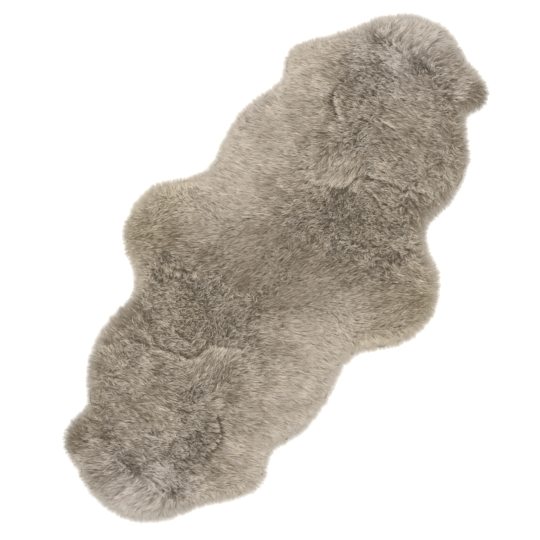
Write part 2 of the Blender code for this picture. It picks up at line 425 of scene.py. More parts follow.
def hide_of(letter):
    """The leather of one pelt, with its edge rounded and its seam side pared."""
    obj = copy_of_node(f"hide_pelt_{letter}", f"hide_leather_{letter}")
    bpy.ops.object.mode_set(mode="EDIT")
    mesh = bmesh.from_edit_mesh(obj.data)
    for edge in mesh.edges:
        edge.select_set(False)
    for edge in mesh.edges:
        along_rim = abs(edge.verts[0].co.z - edge.verts[1].co.z) < LEVEL
        on_seam = all(abs(vert.co.y - SEAM_Y) < ON_SEAM for vert in edge.verts)
        edge.select_set(along_rim and not on_seam)
    bmesh.update_edit_mesh(obj.data)
    bpy.ops.mesh.bevel(offset=EDGE_ROUND, segments=2, affect="EDGES")
    for share in PARED_CUTS:
        cut_y = SEAM_Y + PELTS[letter] * share * PARED_BAND
        bpy.ops.mesh.select_all(action="SELECT")
        bpy.ops.mesh.bisect(plane_co=(0.0, cut_y, 0.0), plane_no=(0.0, 1.0, 0.0))
    mesh = bmesh.from_edit_mesh(obj.data)
    for vert in mesh.verts:
        inwards = abs(vert.co.y - SEAM_Y) / PARED_BAND
        if inwards < 1.0 and vert.co.z < HIDE_MIDDLE:
            vert.co.z += PARED_DEPTH * (1 - inwards**2) ** 2
    bmesh.update_edit_mesh(obj.data)
    bpy.ops.object.mode_set(mode="OBJECT")
    return obj


hides = {letter: hide_of(letter) for letter in PELTS}
for letter, hide in hides.items():
    finish_piece(hide, suede)
    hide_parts(f"hide_pelt_{letter}")
    print(hide.name, triangles(hide), "triangles")

# %% [markdown]
# ## The overcast seam
#
# The two hides meet edge to edge and are whipped together from the flesh side with waxed thread.
# One slanted stitch is modelled from a thin cylinder: its middle lies across the seam, and its two
# ends dip into the leather. An Array modifier repeats it at the furrier's pitch.

# %% Model one stitch
THREAD = 0.8 * MM
STITCH_LENGTH = 6.5 * MM
STITCH_SLANT = math.radians(24)
STITCH_CUTS = (-0.38, -0.22, 0.0, 0.22, 0.38)  # shares of its length at which it can bend
STITCH_DIP = 0.9 * MM

bpy.ops.object.select_all(action="DESELECT")
bpy.ops.mesh.primitive_cylinder_add(
    vertices=6, radius=THREAD / 2, depth=STITCH_LENGTH, rotation=(math.radians(90), 0.0, 0.0)
)
seam = bpy.context.active_object
seam.name = "overcast_seam"
bpy.ops.object.transform_apply(location=False, rotation=True, scale=False)
bpy.ops.object.mode_set(mode="EDIT")
for share in STITCH_CUTS:
    bpy.ops.mesh.select_all(action="SELECT")
    bpy.ops.mesh.bisect(plane_co=(0.0, share * STITCH_LENGTH, 0.0), plane_no=(0.0, 1.0, 0.0))
mesh = bmesh.from_edit_mesh(seam.data)
for vert in mesh.verts:
    out = abs(vert.co.y) / (STITCH_LENGTH / 2)
    vert.co.z += STITCH_DIP * max(0.0, out - 0.35) ** 1.5
    vert.co.x *= 1.0 - 0.3 * max(0.0, out - 0.6)
bmesh.update_edit_mesh(seam.data)
print("one stitch:", len(mesh.verts), "points")

# %% Sew the seam
STITCH_PITCH = 5.0 * MM
SEAM_MARGIN = 3 * MM  # bare leather at either end of the seam
THREAD_CLEARANCE = 0.05 * MM  # between the thread and the floor

rim_of_seam = [
    vert.co.x for vert in hides["a"].data.vertices if abs(vert.co.y - SEAM_Y) < ON_SEAM
]
seam_start, seam_end = min(rim_of_seam) + SEAM_MARGIN, max(rim_of_seam) - SEAM_MARGIN
stitch_count = int((seam_end - seam_start) / STITCH_PITCH)

bpy.ops.mesh.select_all(action="SELECT")
bpy.ops.transform.rotate(value=STITCH_SLANT, orient_axis="Z", center_override=(0.0, 0.0, 0.0))
bpy.ops.transform.translate(value=(seam_start, SEAM_Y, THREAD / 2 + THREAD_CLEARANCE))
bpy.ops.object.mode_set(mode="OBJECT")
row = seam.modifiers.new("stitches", "ARRAY")
row.use_relative_offset = False
row.use_constant_offset = True
row.constant_offset_displace = (STITCH_PITCH, 0.0, 0.0)
row.count = stitch_count
bpy.ops.object.modifier_apply(modifier=row.name)
bpy.ops.object.shade_smooth()
finish_piece(seam, linen)
print("seam:", stitch_count, "stitches,", triangles(seam), "triangles")

# %% [markdown]
# ## The underwool
#
# Near the skin the fleece is so dense that no lock can be told from the next. It is made as one
# soft mass: copies of both pelts' CAD wool are joined, remeshed evenly, drawn in by the depth to
# which the eye sees between the locks, and smoothed. Only then is it cut in two along the seam, so
# that the wool runs on over the seam without a groove. The locks grow out of it.

# %% Felt the underwool
FELT_DEPTH = 16 * MM
FELT_CELL = 9 * MM
WOOL_FLOOR = 2.35 * MM  # the wool lies just clear of the leather

both = [copy_of_node(f"wool_pelt_{letter}", f"felt_of_{letter}") for letter in PELTS]
both[0].select_set(True)
bpy.ops.object.join()
felt = bpy.context.active_object
remesh = felt.modifiers.new("even", "REMESH")
remesh.mode = "VOXEL"
remesh.voxel_size = FELT_CELL
bpy.ops.object.modifier_apply(modifier=remesh.name)
edit_all()
bpy.ops.transform.shrink_fatten(value=-FELT_DEPTH)
bpy.ops.mesh.vertices_smooth(factor=0.5, repeat=6)
mesh = bmesh.from_edit_mesh(felt.data)
mesh.normal_update()
for vert in mesh.verts:
    if vert.normal.z < -0.5:
        vert.co.z = WOOL_FLOOR
    vert.co.z = max(vert.co.z, WOOL_FLOOR)
bmesh.update_edit_mesh(felt.data)
bpy.ops.object.mode_set(mode="OBJECT")
print("felt:", triangles(felt), "triangles")

# %% Cut it in two along the seam
SEAM_GAP = 0.3 * MM


def underwool_of(letter, side):
    """The part of the felt on one side of the seam."""
    obj = place(f"underwool_{letter}", felt.data.copy())
    only(obj)
    edit_all()
    bpy.ops.mesh.bisect(
        plane_co=(0.0, SEAM_Y + side * SEAM_GAP / 2, 0.0),
        plane_no=(0.0, side, 0.0),
        use_fill=True,
        clear_inner=True,
    )
    bpy.ops.mesh.select_all(action="SELECT")
    bpy.ops.mesh.dissolve_limited(angle_limit=math.radians(0.2))
    bpy.ops.object.mode_set(mode="OBJECT")
    bpy.ops.object.shade_smooth()
    return obj


masses = {letter: underwool_of(letter, side) for letter, side in PELTS.items()}
bpy.data.objects.remove(felt, do_unlink=True)
for letter, mass in masses.items():
    finish_piece(mass, underwool)
    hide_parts(f"wool_pelt_{letter}")
    print(mass.name, triangles(mass), "triangles")

# %% [markdown]
# ## Where the wool ends and how high it stands
#
# The CAD model steers the locks by the edge of its hides and by the height of its wool over each
# point. The edge is read as points every few millimetres, with the direction that points outwards
# there. The height is felt for with rays from above, on an even grid, and smoothed, so that the
# slab's flat facets don't show in the fleece.

# %% Edge of the hides
EDGE_STEP = 4 * MM


def edge_of_hides():
    """Points along the hides' outer edge, and the outward direction at each."""
    points, outwards = [], []
    for letter in PELTS:
        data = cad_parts[f"hide_pelt_{letter}"].data
        for face in data.polygons:
            if abs(face.normal.z) > 0.1:
                continue
            corners = [data.vertices[i].co for i in face.vertices]
            if max(abs(c.y - SEAM_Y) for c in corners) < ON_SEAM:
                continue
            low = sorted(corners, key=lambda c: c.z)[:2]
            start, end = low[0].to_2d(), low[1].to_2d()
            if (end - start).length < LEVEL:
                continue
            steps = max(1, round((end - start).length / EDGE_STEP))
            for i in range(steps):
                points.append(start.lerp(end, (i + 0.5) / steps))
                outwards.append(face.normal.to_2d().normalized())
    return np.array(points), np.array(outwards)


edge_points, edge_outwards = edge_of_hides()


def batches(count, size):
    """Slices of a long list of places, so that no step needs much memory."""
    return [slice(start, start + size) for start in range(0, count, size)]


def nearest_edge(places):
    """For each place: how far inside the hides' edge it is, and the outward direction there."""
    inside = np.empty(len(places))
    outwards = np.empty((len(places), 2))
    for batch in batches(len(places), 2000):
        gap = places[batch][:, None] - edge_points[None]
        which = np.argmin((gap**2).sum(axis=2), axis=1)
        nearest = gap[np.arange(len(which)), which]
        sign = -np.sign((nearest * edge_outwards[which]).sum(axis=1))
        inside[batch] = sign * np.linalg.norm(nearest, axis=1)
        outwards[batch] = edge_outwards[which]
    return inside, outwards


print(len(edge_points), "points along the edge")

# %% Height of the wool
HEIGHT_STEP = 8 * MM
HEIGHT_MARGIN = 4  # cells of the grid beyond each side of the rug
LOWEST_TOP = 3 * MM
ABOVE_ALL = 0.3
DOWN = Vector((0, 0, -1))


def height_grid():
    """Top of the CAD wool on an even grid, 0 where there is none, and the grid's first corner."""
    mesh = bmesh.new()
    for letter in PELTS:
        mesh.from_mesh(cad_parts[f"wool_pelt_{letter}"].data)
    tree = BVHTree.FromBMesh(mesh)
    mesh.free()
    low, high = cad_box
    across = int((high.x - low.x) / HEIGHT_STEP) + 2 * HEIGHT_MARGIN + 1
    along = int((high.y - low.y) / HEIGHT_STEP) + 2 * HEIGHT_MARGIN + 1
    corner = np.array((low.x, low.y)) - HEIGHT_MARGIN * HEIGHT_STEP
    grid = np.zeros((across, along))
    for i in range(across):
        for j in range(along):
            x, y = corner + np.array((i, j)) * HEIGHT_STEP
            hit = tree.ray_cast(Vector((x, y, ABOVE_ALL)), DOWN)[0]
            grid[i, j] = hit.z if hit else 0.0
    for _ in range(2):
        near = np.pad(grid, 1, mode="edge")
        sides = near[2:, 1:-1] + near[:-2, 1:-1] + near[1:-1, 2:] + near[1:-1, :-2]
        grid = (sides + 2 * grid) / 6
    return grid, corner


heights, heights_corner = height_grid()


def wool_top(places):
    """Top of the wool over each place."""
    spot = (places - heights_corner) / HEIGHT_STEP
    spot = np.clip(spot, 0, np.array(heights.shape) - 1.001)
    cell = spot.astype(int)
    share = spot - cell
    i, j = cell[:, 0], cell[:, 1]
    lower = heights[i, j] * (1 - share[:, 0]) + heights[i + 1, j] * share[:, 0]
    upper = heights[i, j + 1] * (1 - share[:, 0]) + heights[i + 1, j + 1] * share[:, 0]
    return np.maximum(lower * (1 - share[:, 1]) + upper * share[:, 1], LOWEST_TOP)


print("highest wool, mm:", round(heights.max() / MM, 1))

# %% [markdown]
# ## The lie of the wool
#
# A fleece isn't even. On the flanks it lies flat and catches the light, over the spine and round
# the tail it stands up and shows its dark depth, and it parts where two directions meet. A groomer
# would note this down place by place, and so does this chart of about a hundred places: where,
# which way the tips point, how far they lean over, and how light the wool is painted, partly for
# its own tone and partly as painted light and shade where it lies flat or stands up. Between the
# places the lie is blended. Directions are blended as arrows, so wool that is pulled both ways
# stands up, as at a real parting. Noise alone would put the flanks and partings in the wrong places.
#
# Both pelts are noted in one chart, because they are alike when one is turned half round.

# %% Grooming chart
# x and y in mm from the middle of the seam, y towards the head; the tips' direction in degrees
# from x; the lean from 0, upright, to 1, flat; and the shade, about 0 as a rule, below it for darker
# wool and above it for lighter: partly the wool's own tone, partly painted light and shade. A small
# patch has a strong shade, as its neighbours weaken it.
LIE = (
    # left flank
    (-300, 570, 200, 0.95, 0.5), (-305, 490, 195, 0.95, 1.1), (-310, 400, 195, 0.95, 0.6),
    (-310, 230, 195, 0.95, 0.6), (-300, 110, 190, 0.9, 0.5), (-240, 480, 200, 1.0, 0.0),
    (-235, 300, 200, 1.0, 0.1), (-235, 150, 190, 1.0, 0.4), (-200, 520, 205, 0.9, 0.7),
    (-195, 565, 205, 0.85, -0.1), (-180, 400, 205, 0.9, -0.2), (-190, 240, 210, 0.9, 0.3),
    (-180, 120, 205, 0.9, 0.1), (-150, 200, 205, 0.8, -0.3), (-120, 330, 210, 0.75, 0.1),
    (-100, 400, 210, 0.7, -0.6), (-120, 180, 210, 0.75, -0.2), (-370, 30, 165, 0.7, 0.6),
    (-380, 230, 200, 0.9, 1.1), (-260, 0, 170, 0.8, 0.2),
    # middle, towards the seam
    (-60, 200, 240, 0.5, -0.2), (-60, 350, 275, 0.65, -0.2), (-60, 400, 270, 0.55, -0.4),
    (-20, 305, 270, 0.75, 0.2), (-80, 290, 230, 0.65, 0.1), (10, 380, 275, 0.75, -0.2),
    (30, 270, 285, 0.25, -0.2), (0, 180, 240, 0.45, -0.4), (120, 250, 230, 0.2, 0.2),
    (130, 180, 240, 0.3, 0.4), (60, 60, 65, 0.8, -1.1), (-60, 60, 240, 0.8, -0.9),
    (0, 25, 70, 0.8, -0.8),
    # right lobe
    (175, 320, 190, 0.4, 0.4), (240, 260, 205, 0.45, 0.3), (260, 190, 330, 0.3, 0.0),
    (370, 230, 20, 0.6, -0.1), (400, 260, 20, 0.6, -0.5), (420, 150, 45, 0.7, -0.6),
    (300, 90, 45, 0.8, -0.8), (400, 75, 75, 0.6, 0.1), (350, 60, 60, 0.7, -0.4),
    (180, 100, 55, 0.65, -0.9), (120, 10, 55, 0.85, -0.7), (255, 30, 50, 0.85, -0.3),
    (310, 25, 50, 0.75, 0.2),
    # body
    (-20, 450, 260, 0.3, 0.7), (-110, 475, 215, 0.5, -0.1), (-105, 445, 210, 0.7, 0.2),
    (-60, 450, 220, 0.55, 0.2), (-150, 455, 205, 0.75, -0.1), (-150, 520, 205, 0.35, -0.3),
    (-140, 575, 205, 0.35, -1.1), (-60, 520, 205, 0.45, 0.1), (-100, 550, 205, 0.4, -0.2),
    (-105, 605, 205, 0.3, 1.0), (-180, 620, 210, 0.6, -0.3), (-50, 650, 200, 0.35, 0.2),
    (0, 645, 200, 0.6, 0.3), (50, 460, 195, 0.65, -0.4), (100, 485, 195, 0.65, -0.8),
    (125, 440, 195, 0.55, 0.0), (105, 400, 195, 0.5, 0.4), (60, 570, 195, 0.75, -0.3),
    (60, 690, 210, 0.75, 0.0), (155, 465, 190, 0.6, 0.2), (150, 510, 190, 0.7, -0.1),
    (155, 600, 195, 0.65, -0.4), (120, 645, 205, 0.65, 0.0), (235, 450, 10, 0.5, 0.0),
    (260, 390, 350, 0.5, -0.8), (310, 380, 345, 0.6, -1.8), (230, 570, 5, 0.5, -0.2),
    (185, 545, 200, 0.6, 0.0), (300, 480, 325, 0.6, -0.7), (260, 510, 340, 0.55, 0.2),
    (235, 640, 10, 0.5, -0.8), (200, 600, 200, 0.6, -0.2), (290, 560, 345, 0.6, -1.1),
    (265, 645, 0, 0.6, -2.9),
    # head
    (-190, 700, 225, 0.65, 0.6), (-240, 650, 215, 0.8, 0.4), (-165, 695, 210, 0.5, 1.8),
    (-195, 750, 165, 0.75, -0.1), (-105, 655, 210, 0.45, -0.6), (0, 700, 200, 0.65, -0.3),
    (-142, 728, 205, 0.35, -1.2), (-110, 722, 200, 0.5, 1.2), (-75, 730, 195, 0.7, 0.2),
    (-60, 704, 200, 0.55, 1.0), (12, 745, 200, 0.25, -0.6), (42, 742, 200, 0.45, -0.7),
    (80, 735, 40, 0.45, -0.2), (145, 745, 30, 0.65, 0.4), (122, 724, 25, 0.45, -0.9),
    (-130, 768, 85, 0.75, 0.2), (-60, 772, 75, 0.75, -0.2), (15, 785, 60, 0.75, 0.0),
    (85, 772, 45, 0.7, -0.1), (-120, 815, 70, 0.9, 0.7), (-50, 812, 65, 0.9, 0.4),
    (-50, 850, 70, 0.9, 1.0), (30, 860, 55, 0.9, 0.4), (20, 830, 55, 0.85, -0.1),
    (50, 795, 60, 0.8, -0.7), (90, 810, 45, 0.8, -0.3), (130, 815, 45, 0.8, 0.0),
    (110, 850, 50, 0.7, -0.4), (195, 765, 15, 0.5, -1.6), (205, 715, 5, 0.6, -1.2),
)
SEAM_MIDDLE = np.array((-2.98, 2.57)) * MM
BLEND_WIDTH = 20 * MM


def arrows(angles):
    """Flat arrows of length 1 in these directions."""
    return np.column_stack((np.cos(angles), np.sin(angles)))


def lie_at(places):
    """The lean of the tips as an arrow for each place, its plain size there, and the shade."""
    chart = np.array(LIE)
    arrow = chart[:, 3:4] * arrows(np.radians(chart[:, 2]))
    spots = np.concatenate([turn * chart[:, :2] * MM + SEAM_MIDDLE for turn in (1, -1)])
    noted = np.concatenate([np.column_stack((turn * arrow, chart[:, 3:])) for turn in (1, -1)])
    blended = np.empty((len(places), 4))
    for batch in batches(len(places), 4000):
        apart = ((places[batch][:, None] - spots[None]) ** 2).sum(axis=2)
        weight = (apart + BLEND_WIDTH**2) ** -2.0
        weight /= weight.sum(axis=1, keepdims=True)
        blended[batch] = weight @ noted
    return blended[:, :2], blended[:, 2], blended[:, 3]


print(len(LIE), "places noted")

# %% Yellowed wool
# x, y and width of the patch in mm, and the share that it adds to, or takes from, the usual one.
USUALLY_YELLOWED = 0.35
YELLOWED = (
    (390, 140, 120, 0.45),
    (-380, 20, 80, 0.3),
    (150, 270, 110, 0.25),
    (-40, 830, 170, -0.5),
    (-330, 330, 150, -0.15),
)
SEED = 20241

rng = np.random.default_rng(SEED)


def tint_at(places):
    """A tint strip for a lock at each place, from 0, plain, to the last, yellowed."""
    share = np.full(len(places), USUALLY_YELLOWED)
    for x, y, width, more in YELLOWED:
        for turn in (1, -1):
            apart = ((places - turn * np.array((x, y)) * MM - SEAM_MIDDLE) ** 2).sum(axis=1)
            share += more * np.exp(-apart / (width * MM) ** 2)
    picked = share * (TINT_STRIPS - 1) + rng.normal(0, 0.4, len(places))
    return np.clip(np.round(picked), 0, TINT_STRIPS - 1)


print(len(YELLOWED), "yellowed patches")

# %% [markdown]
# ## One lock, and how it is repeated
#
# A lock of combed wool is a few hundred fibres that hang together: thick as a match at its root
# and drawn out to a point. A hair system would draw single fibres, but it isn't a mesh, so the
# part would lose it. Two locks are modelled instead, each from a cone of three sides: a straight
# one for wool that is combed flat, and one with a ring round its middle, where it bends over, for
# wool that stands up or curls. They are laid along paths of root, middle and tip as often as
# needed.
#
# A point shared by three faces has one normal, which at the tip would point along the lock and
# leave every tip dark. Wool is lit across its fibres, so a lock's normals are set across it.

# %% Model the two locks
BELLY = 0.42  # height of the ring round the middle, as a share of the lock
WIDEST = 0.5  # radius of a lock at its widest, where it is one unit wide
BENT_ROOT = 0.40  # a bent lock is thinner at its root than at its belly
ROOT, MIDDLE, TIP = 0, 1, 2


def model_lock(bent):
    """One lock, one unit high and wide: its points, where each belongs on a path, and its faces."""
    bpy.ops.object.select_all(action="DESELECT")
    root_radius = BENT_ROOT if bent else WIDEST
    bpy.ops.mesh.primitive_cone_add(
        vertices=3, radius1=root_radius, radius2=0.0, depth=1.0, location=(0, 0, 0.5)
    )
    lock = bpy.context.active_object
    bpy.ops.object.transform_apply(location=True, rotation=False, scale=False)
    if bent:
        edit_all()
        bpy.ops.mesh.bisect(plane_co=(0, 0, BELLY), plane_no=(0, 0, 1))
        bpy.ops.object.mode_set(mode="OBJECT")
    points = np.array([vert.co for vert in lock.data.vertices])
    belly = np.abs(points[:, 2] - BELLY) < 0.01
    points[belly, :2] *= WIDEST / np.linalg.norm(points[belly, :2], axis=1)[:, None]
    station = np.where(points[:, 2] < 0.01, ROOT, np.where(belly, MIDDLE, TIP))
    faces = [tuple(face.vertices) for face in lock.data.polygons]
    bpy.data.objects.remove(lock, do_unlink=True)
    return points, station, faces


straight_lock = model_lock(bent=False)
bent_lock = model_lock(bent=True)
print("straight lock:", len(straight_lock[2]), "faces; bent lock:", len(bent_lock[2]), "faces")

# %% Lay locks along their paths
LOWEST_WOOL = 0.4 * MM


def paths_of(places, levels):
    """Paths of [root, middle, tip] from their flat places and their heights."""
    return np.stack([np.column_stack(pair) for pair in zip(places, levels)], axis=1)


def lay_locks(name, lock, paths, heading, width, roll, shade, tint, start):
    """Copies a lock along paths of [root, middle, tip] and joins the copies in one mesh.

    heading is the flat direction in which each lock leans. shade and tint go to its UV map.
    start is how far up its colours a lock begins, from 0, at its dark root, to 1, at its tip."""
    lock_points, station, faces = lock
    count = len(paths)
    run = paths[:, TIP] - paths[:, ROOT]
    run /= np.linalg.norm(run, axis=1, keepdims=True)
    side = np.column_stack((-heading[:, 1], heading[:, 0], np.zeros(count)))
    over = np.cross(run, side)
    over /= np.linalg.norm(over, axis=1, keepdims=True)
    cos, sin = np.cos(roll)[:, None], np.sin(roll)[:, None]
    turned_x = cos * lock_points[:, 0] - sin * lock_points[:, 1]
    turned_y = sin * lock_points[:, 0] + cos * lock_points[:, 1]
    outwards = turned_x[:, :, None] * side[:, None] + turned_y[:, :, None] * over[:, None]
    points = (paths[:, station] + width[:, None, None] * outwards).reshape(-1, 3)
    points[:, 2] = np.maximum(points[:, 2], LOWEST_WOOL)
    outwards[:, station == TIP] = over[:, None]
    outwards /= np.linalg.norm(outwards, axis=2, keepdims=True)
    corners = np.concatenate(faces)
    sizes = np.array([len(face) for face in faces])
    all_corners = (corners[None] + len(lock_points) * np.arange(count)[:, None]).ravel()
    starts = np.concatenate(([0], np.cumsum(np.tile(sizes, count))[:-1]))

    data = bpy.data.meshes.new(name)
    data.vertices.add(len(points))
    data.vertices.foreach_set("co", points.ravel())
    data.loops.add(len(all_corners))
    data.loops.foreach_set("vertex_index", all_corners)
    data.polygons.add(len(starts))
    data.polygons.foreach_set("loop_start", starts)
    data.polygons.foreach_set("use_smooth", np.ones(len(starts), bool))

    # u and v keep clear of the ends of their strips, so that no lock picks up its neighbour's.
    uv = data.uv_layers.new(name=WOOL_UV)
    kept_shade = np.clip(shade, 0.03, 0.97)[:, None]
    across = (kept_shade + 0.01 * lock_points[corners, 0][None] + tint[:, None]) / TINT_STRIPS
    start = np.broadcast_to(start, count)[:, None]
    up = 0.02 + 0.96 * (start + (1 - start) * lock_points[corners, 2][None])
    uv.data.foreach_set("uv", np.stack((across, up), axis=2).ravel())
    data.update(calc_edges=True)
    data.normals_split_custom_set_from_vertices(outwards.reshape(-1, 3))
    return place(name, data)


# %% [markdown]
# ## Tiers of locks
#
# Long wool falls in tiers, as thatch does. Where one tier ends over the next, its tips stand over a
# gap, and those edges are what the eye reads first in a fleece. The tips are raised and painted
# light, and in the gap the locks are cut short, lowered and painted dark: painted shade. Noise
# would put them anywhere, so the clearest are noted as lines and only frayed by noise.

# %% Note the tiers


def swirl(places, width, seed):
    """Smooth noise from -1 to 1 over the places."""
    return np.array([noise.noise(Vector((x / width, y / width, seed))) for x, y in places])


# Points along a tier's edge, in the chart's mm, and how strongly it shows. Going along it, the
# tips that end there are on the left and the gap is on the right.
PARTINGS = (
    # head
    (((-155, 590), (-166, 545), (-160, 510), (-140, 492), (-112, 470)), 1.2),
    (((-155, 757), (-110, 752), (-60, 738)), 0.8),
    (((-45, 765), (0, 754), (50, 742)), 0.8),
    (((-120, 712), (-145, 738)), 0.8),
    (((-50, 712), (-62, 738)), 0.7),
    (((-98, 762), (-97, 805)), 0.6),
    (((-8, 805), (3, 840)), 0.6),
    (((40, 768), (75, 800)), 0.5),
    (((-60, 765), (-42, 800)), 0.5),
    (((-125, 762), (-140, 795)), 0.5),
    (((112, 712), (150, 735)), 0.6),
    # body
    (((12, 532), (38, 538)), 1.0),
    (((5, 622), (25, 630)), 0.8),
    (((-50, 510), (-15, 520)), 0.8),
    (((112, 435), (108, 475)), 0.7),
    (((215, 535), (235, 550)), 0.6),
    (((-140, 625), (-110, 640)), 0.6),
    (((50, 370), (90, 385), (150, 402), (200, 420), (240, 432)), 1.0),
    (((90, 338), (130, 335), (160, 318)), 0.8),
    # middle, towards the seam
    (((30, 310), (38, 345), (45, 370)), 0.8),
    (((-55, 262), (-20, 280), (10, 297), (45, 302)), 0.8),
    (((225, 245), (300, 238)), 0.7),
    (((300, 215), (250, 203), (200, 200), (150, 195)), 0.7),
)
GAP_WIDTH = 5 * MM
TIER_WIDTH = 7 * MM
FRAY = 6  # how far noise moves an edge, in mm
FAR = 1.0  # farther than any place is from any line


def tiers_at(places):
    """How near each place is to a tier's tips, and how deep in the gap beyond: 0 to about 1."""
    side = np.where(places[:, 1] > SEAM_Y, 1, -1)[:, None]
    own = (places - SEAM_MIDDLE) * side
    shown = np.clip(0.8 + swirl(own, 22 * MM, 1.7), 0, 1)
    own = own + np.column_stack((swirl(own, 18 * MM, 4.2), swirl(own, 18 * MM, 6.9))) * FRAY * MM
    tips, gap = np.zeros(len(own)), np.zeros(len(own))
    for points, strength in PARTINGS:
        line = np.array(points) * MM
        nearest = np.full(len(own), FAR)
        for start, end in zip(line, line[1:]):
            run = end - start
            along = np.clip((own - start) @ run / (run @ run), 0, 1)
            away = own - start - along[:, None] * run
            on_left = np.sign(run[0] * away[:, 1] - run[1] * away[:, 0])
            apart = np.linalg.norm(away, axis=1) * on_left
            nearest = np.where(np.abs(apart) < np.abs(nearest), apart, nearest)
        near_tips = np.exp(-(((nearest - TIER_WIDTH) / TIER_WIDTH) ** 2))
        in_gap = np.exp(-(((nearest + 0.5 * GAP_WIDTH) / GAP_WIDTH) ** 2))
        tips = np.maximum(tips, strength * near_tips)
        gap = np.maximum(gap, strength * in_gap)
    return tips * shown, gap * shown


print(len(PARTINGS), "edges of tiers noted")

# %% [markdown]
# ## The fleece
#
# Tufts are set on a jittered grid over both hides. Each has a lean, a size and a shade of its own
# on top of the chart's, with slower swirls from noise. Near the edge of the hide every tuft turns
# outwards. Along the seam the furrier cards the wool of both pelts together, so that the joint
# doesn't show: it is shorter there, and more even in height and shade.
#
# A tuft's locks start round its middle and draw together at their tips. Combed wool gets long
# straight locks and wild wool shorter bent ones, and each lock is painted lighter the higher it
# stands: a painted highlight where it catches the light.

# %% Set the tufts
TUFT_PITCH = 9.6 * MM
ROW_PITCH = TUFT_PITCH * math.sqrt(0.75)
JITTER = 0.38  # share of the pitch by which a tuft is moved at most
PAST_EDGE = 1 * MM  # a tuft may stand this far past the edge


def set_tufts():
    """Places of the tufts, how far inside the edge each is, and the outward direction there."""
    low, high = cad_box
    xs = np.arange(low.x, high.x, TUFT_PITCH)
    ys = np.arange(low.y, high.y, ROW_PITCH)
    grid = [(x + (row % 2) * TUFT_PITCH / 2, y) for row, y in enumerate(ys) for x in xs]
    grid = np.array(grid)
    grid += rng.uniform(-JITTER, JITTER, grid.shape) * TUFT_PITCH
    inside, outwards = nearest_edge(grid)
    kept = inside > -PAST_EDGE
    return grid[kept], inside[kept], outwards[kept]


tufts_at, tufts_inside, tufts_outwards = set_tufts()
tuft_lean, calm, tuft_shade = lie_at(tufts_at)
print(len(tufts_at), "tufts")

# %% Turn the edge's tufts outwards and find the partings
TURN_OUT = 36 * MM  # width of the band in which tufts turn outwards
EDGE_LEAN = 0.75

turn_out = np.clip(1 - tufts_inside / TURN_OUT, 0, 1) ** 1.5
turn_out *= 1 - 0.6 * np.clip((tuft_lean * tufts_outwards).sum(axis=1), 0, 1)
tuft_lean = tuft_lean * (1 - turn_out)[:, None] + EDGE_LEAN * tufts_outwards * turn_out[:, None]
calm = calm * (1 - turn_out) + EDGE_LEAN * turn_out

# Where blended arrows cancel out, the wool is parted. It gets most of its lean back there.
lean = np.linalg.norm(tuft_lean, axis=1)
parted = np.clip(1 - lean / calm, 0, 1) ** 2
lean += 0.7 * (calm - lean)
print(int((parted > 0.25).sum()), "tufts stand in partings")

# %% Make each tuft its own
CARDED = 95 * MM  # how far from the seam the wool is carded
USUAL_SHADE = 0.465
# painted light: in this band the wool is painted lighter, for the light that comes through it
EDGE_GLOW = 20 * MM  # width of the band in which light comes through the wool

order = np.clip(lean, 0, 1)  # 1 for combed wool
wild = 1 - order
rough = wild**0.7
carded = np.exp(-(((tufts_at[:, 1] - SEAM_Y) / CARDED) ** 2))  # 1 at the seam
angle = np.arctan2(tuft_lean[:, 1], tuft_lean[:, 0])
angle += (0.2 + 0.6 * wild) * swirl(tufts_at, 55 * MM, 3.1)
angle += rng.normal(0, 1, len(angle)) * (0.05 + 0.38 * wild + 1.1 * parted)
lean = 0.28 + 0.72 * lean + (0.05 + 0.3 * wild) * swirl(tufts_at, 40 * MM, 7.7)
lean = np.clip(lean + rng.normal(0, 0.05, len(lean)), 0.05, 1.0)
relief = swirl(tufts_at, 20 * MM, 9.2) * (0.5 + 3.6 * rough) * MM
relief += rng.normal(0, 1, len(lean)) * 1.2 * wild * MM
relief *= 1 - 0.6 * carded
even = 1 - 0.5 * carded
shade = USUAL_SHADE + 0.36 * tuft_shade + 0.16 * even * swirl(tufts_at, 30 * MM, 5.3)
shade += rng.normal(0, 1, len(lean)) * (0.05 + 0.05 * rough) * even
glow = np.clip(1 - tufts_inside / EDGE_GLOW, 0, 1)
# Painted light: a raised tuft is painted lighter, and so is wool near the edge, for the light that
# comes through it. Wild wool and the carded band are made a little lighter too.
shade += 0.08 * wild + 30 * relief + 0.12 * glow + 0.16 * carded
print("tufts stand up to", round(relief.max() / MM, 1), "mm above the rest")

# %% Grow the fleece
STRAIGHT_LOCKS = (3.5, 10.0)  # in a tuft of wild wool, and in one of combed wool
BENT_LOCKS = (6, 1)
LOCK_LENGTH = 27 * MM
SET_BACK = 0.55  # share of its reach by which a lock roots behind the middle of its tuft
RIM_REACH = 33 * MM  # how far wool reaches past the hide, before chance alters it
LOWEST_ROOT = 3 * MM
LOWEST_TIP = 1.2 * MM
USUAL_UNEVENNESS = 1.7 * MM


